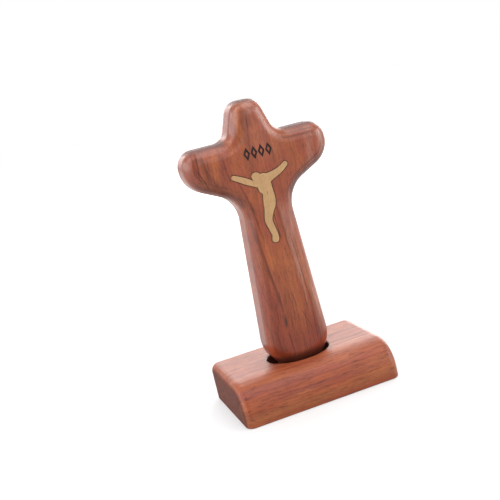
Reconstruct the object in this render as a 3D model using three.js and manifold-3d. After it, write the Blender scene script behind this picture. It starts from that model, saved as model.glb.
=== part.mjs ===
// A wooden holding cross with an inlaid figure, standing in an oval socket in its own stand.
// Sizes are in millimetres. X runs to the viewer's right, Y away from the viewer and Z up.
// The origin lies on the underside of the stand, below the middle of its block.

import * as THREE from "three";
import { mergeVertices, toCreasedNormals } from "three/addons/utils/BufferGeometryUtils.js";
import Module from "manifold-3d";

// The cross, seen from the front, before its corners are rounded
const stemLength = 75.8;
const armRootHeight = 25;
const armTipHeight = 14.6;
const armSpan = 62.8;
const headHeight = 15;
const headTipWidth = 11.2;
const headRootWidth = 21.2;
const stemTopWidth = 20.8;
const footWidth = 29.6;
const crossThickness = 19;

// Radii of the corners of the cross, and of the round that runs along all of its edges.
// Below the foot the round reaches further up the faces, so that the foot ends in a dome.
const headCornerRadius = 6.3;
const headRootRadius = 5.8;
const armTopRadius = 6.9;
const armUnderRadius = 11.3;
const armpitRadius = 12.9;
const footCornerRadius = 13.5;
const edgeRadius = 6.3;
const footRoundRise = 9;

// The figure let into the front of the cross, flush with its face.
// Each station of a limb is its centre across and up from the chest, and its half width there.
const inlayThickness = 2;
const inlayGap = 0.3;
const chestBelowArmTop = 18.6;
const chestAcross = -0.4;
const headCentre = new THREE.Vector2(-2.95, 2.5);
const headHalfLength = 2.05;
const headHalfWidth = 1.75;
const headLean = 155;
const leftArmStations = [
  [-0.8, -0.55, 2.3],
  [-4.4, 0, 1.15],
  [-7.6, 1.75, 1.2],
  [-10.2, 3.25, 1.05],
  [-12.35, 4.4, 0.9],
];
const rightArmStations = [
  [0.4, 0.4, 2.4],
  [3.3, 1.4, 1.65],
  [6.6, 2.45, 1.27],
  [9, 3.75, 1.1],
  [10.2, 4.65, 1],
];
const bodyStations = [
  [-0.35, -0.9, 2.9],
  [-0.25, -2.7, 2.85],
  [0.4, -4.5, 2.3],
  [0.35, -7, 2.55],
  [0.05, -9.6, 2.55],
  [-0.9, -12.4, 1.9],
  [-1.9, -15.8, 1.55],
  [-1.35, -19.2, 1.35],
  [-0.6, -22.3, 1.22],
  [-0.75, -24.3, 1.45],
];

// The stand, a block with one long edge fully rounded
const standLength = 70;
const standDepth = 46.8;
const standHeight = 17;
const frontRadius = 12.7;
const backRadius = 4;
const endRadius = 3.6;
const undersideEase = 0.8;

// The socket, an oval well that the foot of the cross drops into
const socketDepth = 5.3;
const socketFrontGap = 1.8;
const socketPlay = 2.1;
const socketRimRadius = 0.8;
const seatGap = 0.3;
const crossSetback = 0.3;

// How finely the rounds are stepped
const cornerSteps = 10;
const edgeSteps = 6;
const endSteps = 5;
const limbSteps = 28;
const capSteps = 8;
const ovalSteps = 64;
const sharpestRadius = 0.05;
const creaseAngle = Math.PI / 5;

const wasm = await Module();
wasm.setup();

// Moves each edge of a closed polygon inwards by its own amount. Edge i runs from corner i to the next.
function insetCorners(corners, insets) {
  const count = corners.length;
  const edges = corners.map((corner, i) => {
    const along = corners[(i + 1) % count].point.clone().sub(corner.point).normalize();
    const inwards = new THREE.Vector2(-along.y, along.x);
    return { along, start: corner.point.clone().addScaledVector(inwards, insets[i]) };
  });
  return corners.map((corner, i) => {
    const before = edges[(i + count - 1) % count];
    const after = edges[i];
    const turn = before.along.cross(after.along);
    const reach = after.start.clone().sub(before.start).cross(after.along) / turn;
    const shrink = Math.sign(turn) * (insets[i] + insets[(i + count - 1) % count]) / 2;
    return {
      point: before.start.clone().addScaledVector(before.along, reach),
      radius: Math.max(corner.radius - shrink, sharpestRadius),
    };
  });
}

// Turns a closed counter-clockwise polygon into an outline with an arc at each corner.
// Where two arcs would run into each other along an edge, both are cut down to share it.
function roundedOutline(corners) {
  const count = corners.length;
  const turns = corners.map((corner, i) => {
    const before = corner.point.clone().sub(corners[(i + count - 1) % count].point);
    const after = corners[(i + 1) % count].point.clone().sub(corner.point);
    const angle = Math.atan2(before.cross(after), before.dot(after));
    return { angle, before, after, cut: corner.radius * Math.tan(Math.abs(angle) / 2) };
  });
  const shares = turns.map(({ after, cut }, i) =>
    Math.min(1, after.length() / (cut + turns[(i + 1) % count].cut)));
  return corners.flatMap((corner, i) => {
    const { angle, before, cut } = turns[i];
    const share = Math.min(shares[i], shares[(i + count - 1) % count]);
    const direction = before.clone().normalize();
    const start = corner.point.clone().addScaledVector(direction, -cut * share);
    const radius = Math.sign(angle) * corner.radius * share;
    const centre = new THREE.Vector2(-direction.y, direction.x).multiplyScalar(radius).add(start);
    return Array.from({ length: cornerSteps + 1 }, (_, step) =>
      start.clone().rotateAround(centre, (angle * step) / cornerSteps));
  });
}

// Skins a row of outlines, each at its own height above the XY plane, and closes both ends
function loft(layers) {
  const count = layers[0].outline.length;
  const positions = layers.flatMap(({ outline, height }) => outline.flatMap((p) => [p.x, p.y, height]));
  const faces = [];
  for (let layer = 0; layer < layers.length - 1; layer += 1) {
    for (let i = 0; i < count; i += 1) {
      const low = layer * count;
      const high = low + count;
      const next = (i + 1) % count;
      faces.push(low + i, low + next, high + next, low + i, high + next, high + i);
    }
  }
  const top = (layers.length - 1) * count;
  for (const [a, b, c] of THREE.ShapeUtils.triangulateShape(layers[0].outline, [])) {
    faces.push(c, b, a);
  }
  for (const [a, b, c] of THREE.ShapeUtils.triangulateShape(layers.at(-1).outline, [])) {
    faces.push(top + a, top + b, top + c);
  }
  const geometry = new THREE.BufferGeometry();
  geometry.setAttribute("position", new THREE.Float32BufferAttribute(positions, 3));
  geometry.setIndex(faces);
  return geometry;
}

// The steps of a quarter round: how far it has drawn in, and how far it has risen
function quarterRound(radius, steps) {
  return Array.from({ length: steps + 1 }, (_, step) => {
    const angle = (Math.PI / 2) * (step / steps);
    return { inset: radius * (1 - Math.cos(angle)), rise: radius * Math.sin(angle) };
  });
}

function toSolid(geometry) {
  const merged = mergeVertices(geometry);
  return new wasm.Manifold(new wasm.Mesh({
    numProp: 3,
    vertProperties: new Float32Array(merged.attributes.position.array),
    triVerts: new Uint32Array(merged.index.array),
  }));
}

function toGeometry(solid) {
  const { vertProperties, triVerts } = solid.getMesh();
  const geometry = new THREE.BufferGeometry();
  geometry.setAttribute("position", new THREE.Float32BufferAttribute(vertProperties, 3));
  geometry.setIndex(new THREE.Uint32BufferAttribute(triVerts, 1));
  return toCreasedNormals(geometry, creaseAngle);
}

// Heights on the cross, from the end of its foot
const armTop = stemLength + armRootHeight;
const crossHeight = armTop + headHeight;

// The right half of the cross from the foot up, as corners of a polygon, then the left half back down
function crossCorners() {
  const corner = (x, y, radius) => ({ point: new THREE.Vector2(x, y), radius });
  const right = [
    corner(footWidth / 2, 0, footCornerRadius),
    corner(stemTopWidth / 2, stemLength, armpitRadius),
    corner(armSpan / 2, armTop - armTipHeight, armUnderRadius),
    corner(armSpan / 2, armTop, armTopRadius),
    corner(headRootWidth / 2, armTop, headRootRadius),
    corner(headTipWidth / 2, crossHeight, headCornerRadius),
  ];
  const left = right.map(({ point, radius }) => corner(-point.x, point.y, radius)).reverse();
  return [...right, ...left];
}

// The outline of the cross drawn in all round by one amount, and by another below its foot
function crossOutline(inset, footInset) {
  const corners = crossCorners();
  const footEdge = corners.length - 1;
  const insets = corners.map((_, edge) => (edge === footEdge ? footInset : inset));
  return roundedOutline(insetCorners(corners, insets));
}

// The round along the edges, from the flat side of the cross to its face
const crossEdge = quarterRound(1, edgeSteps).map(({ inset, rise }) => ({
  outline: crossOutline(edgeRadius * inset, footRoundRise * inset),
  height: crossThickness / 2 - edgeRadius + edgeRadius * rise,
}));

// The cross lies on its back while it is lofted, and is stood up afterwards
function crossBody() {
  const back = crossEdge.map(({ outline, height }) => ({ outline, height: -height })).reverse();
  return toSolid(loft([...back, ...crossEdge]).rotateX(Math.PI / 2));
}

// A limb seen from the front: a band of changing width along a smooth line, with round ends
function limbOutline(stations, growth) {
  const knots = stations.map(([x, y, halfWidth]) => new THREE.Vector3(x, y, halfWidth));
  const points = new THREE.CatmullRomCurve3(knots).getPoints(limbSteps);
  const sides = points.map((point, i) => {
    const before = points[Math.max(i - 1, 0)];
    const after = points[Math.min(i + 1, limbSteps)];
    const along = new THREE.Vector2(after.x - before.x, after.y - before.y).normalize();
    return { centre: new THREE.Vector2(point.x, point.y), along, halfWidth: point.z + growth };
  });
  const onSide = ({ centre, along, halfWidth }, angle) =>
    centre.clone().addScaledVector(along.clone().rotateAround(new THREE.Vector2(), angle), halfWidth);
  const cap = (side, from) => Array.from({ length: capSteps - 1 }, (_, step) =>
    onSide(side, from + (Math.PI * (step + 1)) / capSteps));
  return [
    ...sides.map((side) => onSide(side, -Math.PI / 2)),
    ...cap(sides.at(-1), -Math.PI / 2),
    ...sides.map((side) => onSide(side, Math.PI / 2)).reverse(),
    ...cap(sides[0], Math.PI / 2),
  ];
}

// The figure as one flat solid. Growth widens it all round, and near and far are distances in front of
// the middle of the cross.
function figure(growth, far, near) {
  const lean = THREE.MathUtils.degToRad(headLean);
  const head = new THREE.EllipseCurve(0, 0, headHalfLength + growth, headHalfWidth + growth)
    .getPoints(limbSteps)
    .slice(0, -1)
    .map((point) => point.rotateAround(new THREE.Vector2(), lean).add(headCentre));
  const outlines = [
    head,
    limbOutline(leftArmStations, growth),
    limbOutline(rightArmStations, growth),
    limbOutline(bodyStations, growth),
  ];
  return outlines
    .map((outline) => loft([{ outline, height: far }, { outline, height: near }]))
    .map((limb) => toSolid(limb.rotateX(Math.PI / 2).translate(chestAcross, 0, armTop - chestBelowArmTop)))
    .reduce((whole, limb) => whole.add(limb));
}

// The figure is flush with the face, and its pocket is open in front and a gap deeper behind
const face = crossThickness / 2;
const inlay = figure(0, face - inlayThickness, face);
const pocket = figure(inlayGap, face - inlayThickness - inlayGap, face + inlayThickness);

// Half the width of an outline where it is widest at one height
function halfWidthAt(outline, height) {
  const crossings = outline.map((point, i) => {
    const next = outline[(i + 1) % outline.length];
    const share = (height - point.y) / (next.y - point.y);
    return share >= 0 && share <= 1 ? point.x + share * (next.x - point.x) : 0;
  });
  return Math.max(...crossings);
}

// The stand's end profile across and up, seen from its right end
function standProfile(inset, undersideInset) {
  const corner = (x, y, radius) => ({ point: new THREE.Vector2(x, y), radius });
  const corners = [
    corner(-standDepth / 2, 0, undersideEase),
    corner(standDepth / 2, 0, undersideEase),
    corner(standDepth / 2, standHeight, backRadius),
    corner(-standDepth / 2, standHeight, frontRadius),
  ];
  return roundedOutline(insetCorners(corners, [undersideInset, inset, inset, inset]));
}

// The block, lofted along its length and turned to lie along X
function standBody() {
  const end = quarterRound(1, endSteps).map(({ inset, rise }) => ({
    outline: standProfile(endRadius * inset, undersideEase * inset),
    height: standLength / 2 - endRadius + endRadius * rise,
  }));
  const other = end.map(({ outline, height }) => ({ outline, height: -height })).reverse();
  return toSolid(loft([...other, ...end]).rotateX(Math.PI / 2).rotateZ(Math.PI / 2));
}

// The oval is as long as it must be for the rounded foot to clear it at the mouth by the play
const mouthHeight = socketDepth - seatGap;
const socketHalfDepth = crossThickness / 2 + socketFrontGap;
const socketHalfLength = Math.max(...crossEdge.map(({ outline, height }) =>
  (halfWidthAt(outline, mouthHeight) + socketPlay) / Math.sqrt(1 - (height / socketHalfDepth) ** 2)));

// The well itself, with straight walls, a flat floor and an eased rim
function socketBody() {
  const oval = (growth) =>
    new THREE.EllipseCurve(0, 0, socketHalfLength + growth, socketHalfDepth + growth)
      .getPoints(ovalSteps)
      .slice(0, -1);
  const rim = quarterRound(socketRimRadius, edgeSteps).map(({ inset, rise }) => ({
    outline: oval(inset),
    height: standHeight - socketRimRadius + rise,
  }));
  const floor = { outline: oval(0), height: standHeight - socketDepth };
  const above = { outline: oval(socketRimRadius), height: standHeight + socketDepth };
  return toSolid(loft([floor, ...rim, above]).translate(0, crossSetback, 0));
}

function piece(name, solid, color, roughness) {
  const material = new THREE.MeshStandardMaterial({ color, roughness, metalness: 0 });
  const mesh = new THREE.Mesh(toGeometry(solid), material);
  mesh.name = name;
  return mesh;
}

const cross = new THREE.Group();
cross.add(piece("cross", crossBody().subtract(pocket), 0x9e5c46, 0.4));
cross.add(piece("corpus_inlay", inlay, 0xc8a578, 0.5));
cross.position.set(0, crossSetback, standHeight - socketDepth + seatGap);

const crucifix = new THREE.Group();
crucifix.add(piece("stand", standBody().subtract(socketBody()), 0xa96048, 0.45));
crucifix.add(cross);

export default crucifix;
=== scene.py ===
"""A wooden holding cross with an inlaid figure, standing in an oval socket in its own stand.

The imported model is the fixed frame. The three wooden pieces are modelled again here with fine rounds, an
engraved and burnt front and solid-wood finishes, each in the place of its own node. Lengths are in metres.
X runs to the viewer's right, Y away from the viewer and Z up.
"""

import logging
import math
from dataclasses import dataclass, field
from enum import Enum
from typing import Any, Callable, Sequence

import bmesh
import bpy
from mathutils import Matrix, Vector


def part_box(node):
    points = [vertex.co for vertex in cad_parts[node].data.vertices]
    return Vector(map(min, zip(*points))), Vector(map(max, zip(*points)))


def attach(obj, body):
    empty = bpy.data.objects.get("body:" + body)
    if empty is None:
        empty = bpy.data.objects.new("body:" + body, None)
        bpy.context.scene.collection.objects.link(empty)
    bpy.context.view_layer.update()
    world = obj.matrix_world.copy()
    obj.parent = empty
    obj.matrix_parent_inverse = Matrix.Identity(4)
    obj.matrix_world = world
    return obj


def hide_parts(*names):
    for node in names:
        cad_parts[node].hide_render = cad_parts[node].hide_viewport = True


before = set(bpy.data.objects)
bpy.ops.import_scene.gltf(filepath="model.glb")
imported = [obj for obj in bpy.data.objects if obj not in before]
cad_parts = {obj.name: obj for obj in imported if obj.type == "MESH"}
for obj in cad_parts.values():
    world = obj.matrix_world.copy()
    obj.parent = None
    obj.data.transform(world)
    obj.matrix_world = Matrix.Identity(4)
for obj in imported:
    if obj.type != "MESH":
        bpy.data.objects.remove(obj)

MM = 0.001
NEAR = 0.02 * MM
FACING_FRONT = (math.pi / 2, 0, 0)
# How far a cutter stands in front of the face that it cuts.
PROUD = MM
# How nearly a face has to look along an axis to be picked by its normal.
SQUARE_ON = 0.9
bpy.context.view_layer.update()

log = logging.getLogger("holding_cross")


# Modelling in edit mode


class Part(Enum):
    """What a selection is made of."""

    VERTS = "VERT"
    EDGES = "EDGE"
    FACES = "FACE"


class Cut(Enum):
    """What a second solid does to the first."""

    REMOVE = "DIFFERENCE"
    JOIN = "UNION"


def quarter_round(steps: int) -> list[tuple[float, float]]:
    """The stations of a quarter round of radius one.

    Args:
        steps: How many flats stand for the round.

    Returns:
        How far each station has drawn in and how far it has risen, from the side up to the face.
    """
    angles = [math.pi / 2 * step / steps for step in range(steps + 1)]
    return [(1 - math.cos(angle), math.sin(angle)) for angle in angles]


class Workpiece:
    """A mesh object that is shaped in edit mode, one operator after another."""

    def __init__(self, name: str, add: Callable[..., Any], **place: Any) -> None:
        """Adds a primitive and fixes its place in its mesh.

        Args:
            name: The object's name.
            add: The operator that adds the primitive.
            **place: What the operator is given.
        """
        self.let_go()
        add(**place)
        self.obj = bpy.context.active_object
        self.obj.name = name
        self.obj.data.name = name
        bpy.ops.object.transform_apply(location=True, rotation=True, scale=True)

    @staticmethod
    def let_go() -> None:
        """Goes back to object mode with nothing selected."""
        if bpy.context.object and bpy.context.object.mode != "OBJECT":
            bpy.ops.object.mode_set(mode="OBJECT")
        bpy.ops.object.select_all(action="DESELECT")

    def only(self) -> None:
        """Selects this object alone, in object mode."""
        self.let_go()
        self.obj.select_set(True)
        bpy.context.view_layer.objects.active = self.obj

    def edit(self) -> None:
        """Enters edit mode on this object alone."""
        if bpy.context.object is self.obj and self.obj.mode == "EDIT":
            return
        self.only()
        bpy.ops.object.mode_set(mode="EDIT")

    def pick(self, part: Part, test: Callable[[Any], bool]) -> None:
        """Selects the parts of the mesh that pass a test, and nothing else.

        Args:
            part: Vertices, edges or faces.
            test: Whether one of them is wanted.
        """
        self.edit()
        bpy.ops.mesh.select_mode(type=part.value)
        bpy.ops.mesh.select_all(action="DESELECT")
        mesh = bmesh.from_edit_mesh(self.obj.data)
        rows = {Part.VERTS: mesh.verts, Part.EDGES: mesh.edges, Part.FACES: mesh.faces}[part]
        for row in [row for row in rows if test(row)]:
            row.select_set(True)
        mesh.select_flush_mode()
        bmesh.update_edit_mesh(self.obj.data)

    def pick_edges(self, test: Callable[[Vector], bool]) -> None:
        """Selects the edges of which both ends pass a test."""
        self.pick(Part.EDGES, lambda edge: all(test(vert.co) for vert in edge.verts))

    def pick_verts(self, test: Callable[[Vector], bool]) -> None:
        """Selects the vertices of which the place passes a test."""
        self.pick(Part.VERTS, lambda vert: test(vert.co))

    def pick_faces(self, test: Callable[[Vector], bool]) -> None:
        """Selects the faces of which the normal passes a test."""
        self.pick(Part.FACES, lambda face: test(face.normal))

    def all(self) -> None:
        """Selects the whole mesh."""
        self.edit()
        bpy.ops.mesh.select_all(action="SELECT")

    def move(self, way: Sequence[float]) -> None:
        """Moves what is selected."""
        bpy.ops.transform.translate(value=tuple(way))

    def size(self, by: Sequence[float], about: Sequence[float]) -> None:
        """Resizes what is selected about a point."""
        bpy.ops.transform.resize(value=tuple(by), center_override=tuple(about))

    def outwards(self) -> None:
        """Turns all faces outwards."""
        self.all()
        bpy.ops.mesh.normals_make_consistent(inside=False)

    def modify(self, kind: str, **settings: Any) -> None:
        """Adds a modifier and applies it.

        Args:
            kind: The modifier's type.
            **settings: Its settings.
        """
        self.only()
        modifier = self.obj.modifiers.new(kind.title(), kind)
        for name, value in settings.items():
            setattr(modifier, name, value)
        bpy.ops.object.modifier_apply(modifier=modifier.name)

    def combine(self, other: "Workpiece", cut: Cut) -> None:
        """Joins another solid to this one or removes it from this one, and deletes the other.

        Args:
            other: The second solid.
            cut: Whether it is joined or removed.
        """
        self.modify("BOOLEAN", object=other.obj, operation=cut.value, solver="EXACT")
        bpy.data.objects.remove(other.obj)
        self.put_in_order()
        self.all()
        bpy.ops.mesh.remove_doubles(threshold=NEAR / 4)
        bpy.ops.mesh.dissolve_degenerate(threshold=NEAR / 4)
        self.all()
        bpy.ops.mesh.delete_loose()

    def pull(self, way: Sequence[float], edges: bool = False) -> None:
        """Extrudes what is picked.

        Args:
            way: How far along each axis, in metres.
            edges: Whether edges alone are picked.
        """
        extrude = bpy.ops.mesh.extrude_edges_move if edges else bpy.ops.mesh.extrude_region_move
        extrude(TRANSFORM_OT_translate={"value": way})

    def round_off(self, stations: Sequence[tuple[float, float]], radius: float) -> None:
        """Draws the picked face in and out step by step, so that a round runs along its edge.

        Args:
            stations: How far in and how far out each step lies, as shares of the radius.
            radius: The round's radius, in metres.
        """
        for (in0, out0), (in1, out1) in zip(stations, stations[1:]):
            inwards, outwards = (in1 - in0) * radius, (out1 - out0) * radius
            bpy.ops.mesh.inset(thickness=inwards, depth=outwards, use_even_offset=True, use_boundary=True)

    def put_in_order(self) -> None:
        """Orders the mesh by place, so that what follows a boolean gives the same result each time."""
        self.edit()
        mesh = bmesh.from_edit_mesh(self.obj.data)
        mesh.verts.index_update()
        for rows, key in (
            (mesh.verts, lambda vert: vert.co[:]),
            (mesh.edges, lambda edge: sorted(vert.index for vert in edge.verts)),
            (mesh.faces, lambda face: sorted(vert.index for vert in face.verts)),
        ):
            rank = {row: number for number, row in enumerate(sorted(rows, key=key))}
            rows.sort(key=rank.get)
            rows.index_update()
        bmesh.update_edit_mesh(self.obj.data)

    def scorch(self, share: float) -> None:
        """Marks every corner of every face as burnt by the same share."""
        self.only()
        kept = self.obj.data.attributes
        burnt = kept.get("burn") or kept.new("burn", "FLOAT", "CORNER")
        burnt.data.foreach_set("value", [share] * len(burnt.data))

    def smooth(self, sharpest: float) -> None:
        """Shades the rounds smooth and the flats flat.

        Args:
            sharpest: The angle in degrees past which an edge stays sharp.
        """
        self.only()
        bpy.ops.object.shade_smooth_by_angle(angle=math.radians(sharpest))
        self.modify("WEIGHTED_NORMAL", keep_sharp=True, weight=50, mode="FACE_AREA")

    def hand_over(self, node: str, body: str, slot: str, finish: bpy.types.Material) -> None:
        """Dresses the piece, puts it in its node's place and lets it ride on its body.

        Args:
            node: The node that the piece stands for.
            body: The body that carries it.
            slot: The record's material slot; not used.
            finish: The material.
        """
        self.only()
        self.obj.data.materials.clear()
        self.obj.data.materials.append(finish)
        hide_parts(node)
        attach(self.obj, body)
        log.info("%s: %d faces, on %s", self.obj.name, len(self.obj.data.polygons), body)


# Node graphs

Socket = bpy.types.NodeSocket
FLOAT = "NodeSocketFloat"
VECTOR = "NodeSocketVector"


class Graph:
    """Adds nodes to one tree and joins them."""

    def __init__(self, tree: bpy.types.NodeTree) -> None:
        """Starts on a tree."""
        self.tree = tree

    def add(self, kind: str, inputs: dict[Any, Any] | None = None, **settings: Any) -> bpy.types.Node:
        """Adds a node.

        Args:
            kind: The node's type, without the words that all shader nodes share.
            inputs: Values or sockets for its inputs, by name or number.
            **settings: The node's own settings.

        Returns:
            The node.
        """
        node = self.tree.nodes.new(kind if kind.startswith("Node") else "ShaderNode" + kind)
        for name, value in settings.items():
            setattr(node, name, value)
        for key, value in (inputs or {}).items():
            self.feed(node.inputs[key], value)
        return node

    def feed(self, socket: Socket, value: Any) -> None:
        """Gives an input its link or its value.

        Args:
            socket: The input.
            value: The socket that it is joined to, or its value.
        """
        if isinstance(value, Socket):
            self.tree.links.new(value, socket)
        else:
            socket.default_value = value

    def math(self, operation: str, *values: Any) -> Socket:
        """Adds a Math node and returns its result."""
        return self.add("Math", dict(enumerate(values)), operation=operation).outputs[0]

    def times(self, first: Any, second: Any) -> Socket:
        """Multiplies two values."""
        return self.math("MULTIPLY", first, second)

    def plus(self, first: Any, second: Any) -> Socket:
        """Adds two values."""
        return self.math("ADD", first, second)

    def minus(self, first: Any, second: Any) -> Socket:
        """Takes the second value from the first."""
        return self.math("SUBTRACT", first, second)

    def over(self, first: Any, second: Any) -> Socket:
        """Divides the first value by the second."""
        return self.math("DIVIDE", first, second)

    def axes(self, place: Any) -> Any:
        """Splits a place into its X, Y and Z."""
        return self.add("SeparateXYZ", {0: place}).outputs

    def mirrored(self, path: bpy.types.Node) -> Socket:
        """Tells a ray that metal or glass sends on from any other."""
        return self.math("MAXIMUM", path.outputs["Is Glossy Ray"], path.outputs["Is Transmission Ray"])

    def ramp(self, value: Any, low: Any, high: Any, to_low: Any = 0.0, to_high: Any = 1.0) -> Socket:
        """Adds a smooth, clamped Map Range node and returns its result."""
        inputs = {"Value": value, "From Min": low, "From Max": high, "To Min": to_low, "To Max": to_high}
        return self.add("MapRange", inputs, interpolation_type="SMOOTHSTEP").outputs["Result"]

    def noise(
        self, place: Any, stretch: Sequence[float], detail: float = 2.0, shift: float = 0.0
    ) -> Socket:
        """Adds a noise that is stretched along the axes, and returns its value.

        Args:
            place: The socket with the place in millimetres.
            stretch: How often the noise changes per millimetre along X, Y and Z.
            detail: How many finer layers it has.
            shift: Where in the noise it is taken.

        Returns:
            The noise's value, about 0.5 on average.
        """
        where = (shift, shift * 0.7, shift * 1.3)
        moved = self.add("Mapping", {"Vector": place, "Location": where, "Scale": tuple(stretch)})
        inputs = {"Vector": moved.outputs[0], "Scale": 1.0, "Detail": detail, "Roughness": 0.55}
        return self.add("TexNoise", inputs, noise_dimensions="3D").outputs[0]

    def mix(self, share: Any, first: Any, second: Any, blend: str = "MIX") -> Socket:
        """Adds a colour mix and returns its result."""
        node = self.add("Mix", data_type="RGBA", blend_type=blend)
        for number, value in ((0, share), (6, first), (7, second)):
            self.feed(node.inputs[number], value)
        return node.outputs[2]


def empty_graph(owner: bpy.types.Material | bpy.types.World) -> Graph:
    """Turns on the nodes of a material or world and clears them away.

    Args:
        owner: The material or world.

    Returns:
        Its empty graph.
    """
    owner.use_nodes = True
    owner.node_tree.nodes.clear()
    return Graph(owner.node_tree)


def new_group(
    name: str, inputs: dict[str, tuple[str, Any]], outputs: Sequence[str]
) -> tuple[Graph, Any, Any]:
    """Makes an empty shader node group with its sockets.

    Args:
        name: The group's name.
        inputs: The kind and the first value of each input, by name.
        outputs: The names of the outputs, which are all numbers.

    Returns:
        A graph on the group, what is given to it and what it gives out.
    """
    tree = bpy.data.node_groups.new(name, "ShaderNodeTree")
    for socket, (kind, value) in inputs.items():
        made = tree.interface.new_socket(name=socket, in_out="INPUT", socket_type=kind)
        if value is not None:
            made.default_value = value
    for socket in outputs:
        tree.interface.new_socket(name=socket, in_out="OUTPUT", socket_type=FLOAT)
    graph = Graph(tree)
    return graph, graph.add("NodeGroupInput").outputs, graph.add("NodeGroupOutput").inputs


def growth_group() -> bpy.types.NodeTree:
    """Builds the group for solid wood: layers round a pith along Z, and what runs along the grain."""
    inputs = {
        "Place": (VECTOR, None),
        "Pith X": (FLOAT, 0.0),
        "Pith Y": (FLOAT, 70.0),
        "Ring Spacing": (FLOAT, 2.0),
        "Wander": (FLOAT, 6.0),
    }
    outputs = ("Latewood", "Ring Tone", "Streaks", "Fibre", "Pores", "Dashes", "Ripple", "Flecks")
    g, given, out = new_group("solid_wood", inputs, outputs)
    drift_scale = (0.025, 0.025, 0.014)
    drift = g.add("Mapping", {"Vector": given["Place"], "Scale": drift_scale}).outputs[0]
    drift = g.add("TexNoise", {"Vector": drift, "Scale": 1.0, "Detail": 2.0, "Roughness": 0.5})
    drift = g.add("VectorMath", {0: drift.outputs["Color"], 1: (0.5, 0.5, 0.5)}, operation="SUBTRACT")
    drift = g.add("VectorMath", {0: drift.outputs[0], "Scale": given["Wander"]}, operation="SCALE")
    place = g.add("VectorMath", {0: given["Place"], 1: drift.outputs[0]}, operation="ADD").outputs[0]
    axes = g.axes(place)
    across = g.minus(axes[0], given["Pith X"])
    deep = g.minus(axes[1], given["Pith Y"])
    radius = g.math("SQRT", g.plus(g.times(across, across), g.times(deep, deep)))
    ragged = g.times(g.noise(place, (0.9, 0.9, 0.05), detail=3.0, shift=7.0), 0.5)
    phase = g.over(g.plus(radius, ragged), given["Ring Spacing"])
    within = g.math("FRACT", phase)
    boldness = g.add("TexWhiteNoise", {"W": g.math("FLOOR", phase)}, noise_dimensions="1D").outputs[0]
    late_from, late_full, late_end = 0.5, 0.94, 0.95
    late = g.times(g.ramp(within, late_from, late_full), g.ramp(within, late_end, 1.0, 1.0, 0.0))
    late = g.times(late, g.ramp(boldness, 0.1, 0.9, 0.25, 1.0))
    grain = (
        ("Streaks", (0.3, 0.3, 0.016), 3.0, 0.42, 0.66),
        ("Fibre", (1.2, 1.2, 0.04), 3.0, 0.25, 0.75),
        ("Pores", (2.1, 2.1, 0.14), 3.0, 0.54, 0.65),
        ("Dashes", (3.8, 3.8, 0.4), 1.0, 0.56, 0.7),
        ("Ripple", (0.06, 0.06, 0.2), 1.0, 0.3, 0.7),
        ("Flecks", (0.45, 0.45, 1.9), 2.0, 0.5, 0.66),
    )
    g.feed(out["Latewood"], late)
    g.feed(out["Ring Tone"], boldness)
    for number, (name, stretch, detail, low, high) in enumerate(grain):
        value = g.noise(place, stretch, detail=detail, shift=20.0 + 13.0 * number)
        g.feed(out[name], g.ramp(value, low, high))
    return g.tree


def vein_group() -> bpy.types.NodeTree:
    """Builds the group for one vein along the grain, with one soft and one sharp edge."""
    sizes = Vein(0.0, 0.0, 30.0, 0.0, 1.0, 2.0, 0.3, 1.0).sizes()
    inputs = {"Place": (VECTOR, None)} | {name: (FLOAT, value) for name, value in sizes.items()}
    g, given, out = new_group("vein", inputs, ("Vein",))
    fade = 3.0
    place = given["Place"]
    axes = g.axes(place)
    up = g.minus(axes[2], given["Middle Height"])
    wave = g.minus(g.noise(place, (0.06, 0.06, 0.06), detail=3.0, shift=12.0), 0.5)
    line = g.plus(given["Across"], g.times(given["Lean"], up))
    line = g.plus(line, g.times(wave, given["Wander"]))
    off = g.minus(axes[0], line)
    soft = g.over(g.times(off, -1.0), given["Soft Side"])
    sharp = g.over(off, given["Sharp Side"])
    body = g.ramp(g.math("MAXIMUM", soft, sharp), 0.0, 1.0, 1.0, 0.0)
    reach = g.over(g.math("ABSOLUTE", up), given["Half Length"])
    body = g.times(body, g.ramp(reach, 0.5, 1.0, 1.0, 0.0))
    inner = g.minus(axes[1], given["From"])
    outer = g.minus(given["To"], axes[1])
    body = g.times(body, g.ramp(g.math("MINIMUM", inner, outer), 0.0, fade))
    broken = g.ramp(g.noise(place, (0.5, 0.5, 0.06), detail=3.0, shift=31.0), 0.3, 0.6, 0.45, 1.0)
    g.feed(out["Vein"], g.times(body, broken))
    return g.tree


Colour = tuple[float, float, float]


def paint(red: float, green: float, blue: float) -> tuple[float, float, float, float]:
    """Turns a colour of 0 to 255 as seen on a screen into the linear colour of a shader.

    Args:
        red: The red share.
        green: The green share.
        blue: The blue share.

    Returns:
        The linear colour with full cover.
    """

    def linear(value: float) -> float:
        """Undoes the screen's curve for one channel."""
        share = value / 255
        return share / 12.92 if share <= 0.04045 else ((share + 0.055) / 1.055) ** 2.4

    return (linear(red), linear(green), linear(blue), 1.0)


class Grain(Enum):
    """Which way the grain runs."""

    UP = 2
    ALONG = 0


class Sheet(Enum):
    """How a vein lies in the wood: upright, so that it crosses the face, or level with the face."""

    UPRIGHT = 0
    LEVEL = 1


@dataclass(frozen=True)
class Vein:
    """One vein or streak, in millimetres, where the grain runs along Z."""

    across: float
    middle: float
    half_length: float
    lean: float
    wander: float
    soft: float
    sharp: float
    strength: float
    start: float = -100.0
    end: float = 100.0
    colour: Colour | None = None
    sheet: Sheet = Sheet.UPRIGHT

    def sizes(self) -> dict[str, float]:
        """Names its sizes as the group's inputs are named."""
        return {
            "Across": self.across,
            "Middle Height": self.middle,
            "Half Length": self.half_length,
            "Lean": self.lean,
            "Wander": self.wander,
            "Soft Side": self.soft,
            "Sharp Side": self.sharp,
            "From": self.start,
            "To": self.end,
        }


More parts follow.
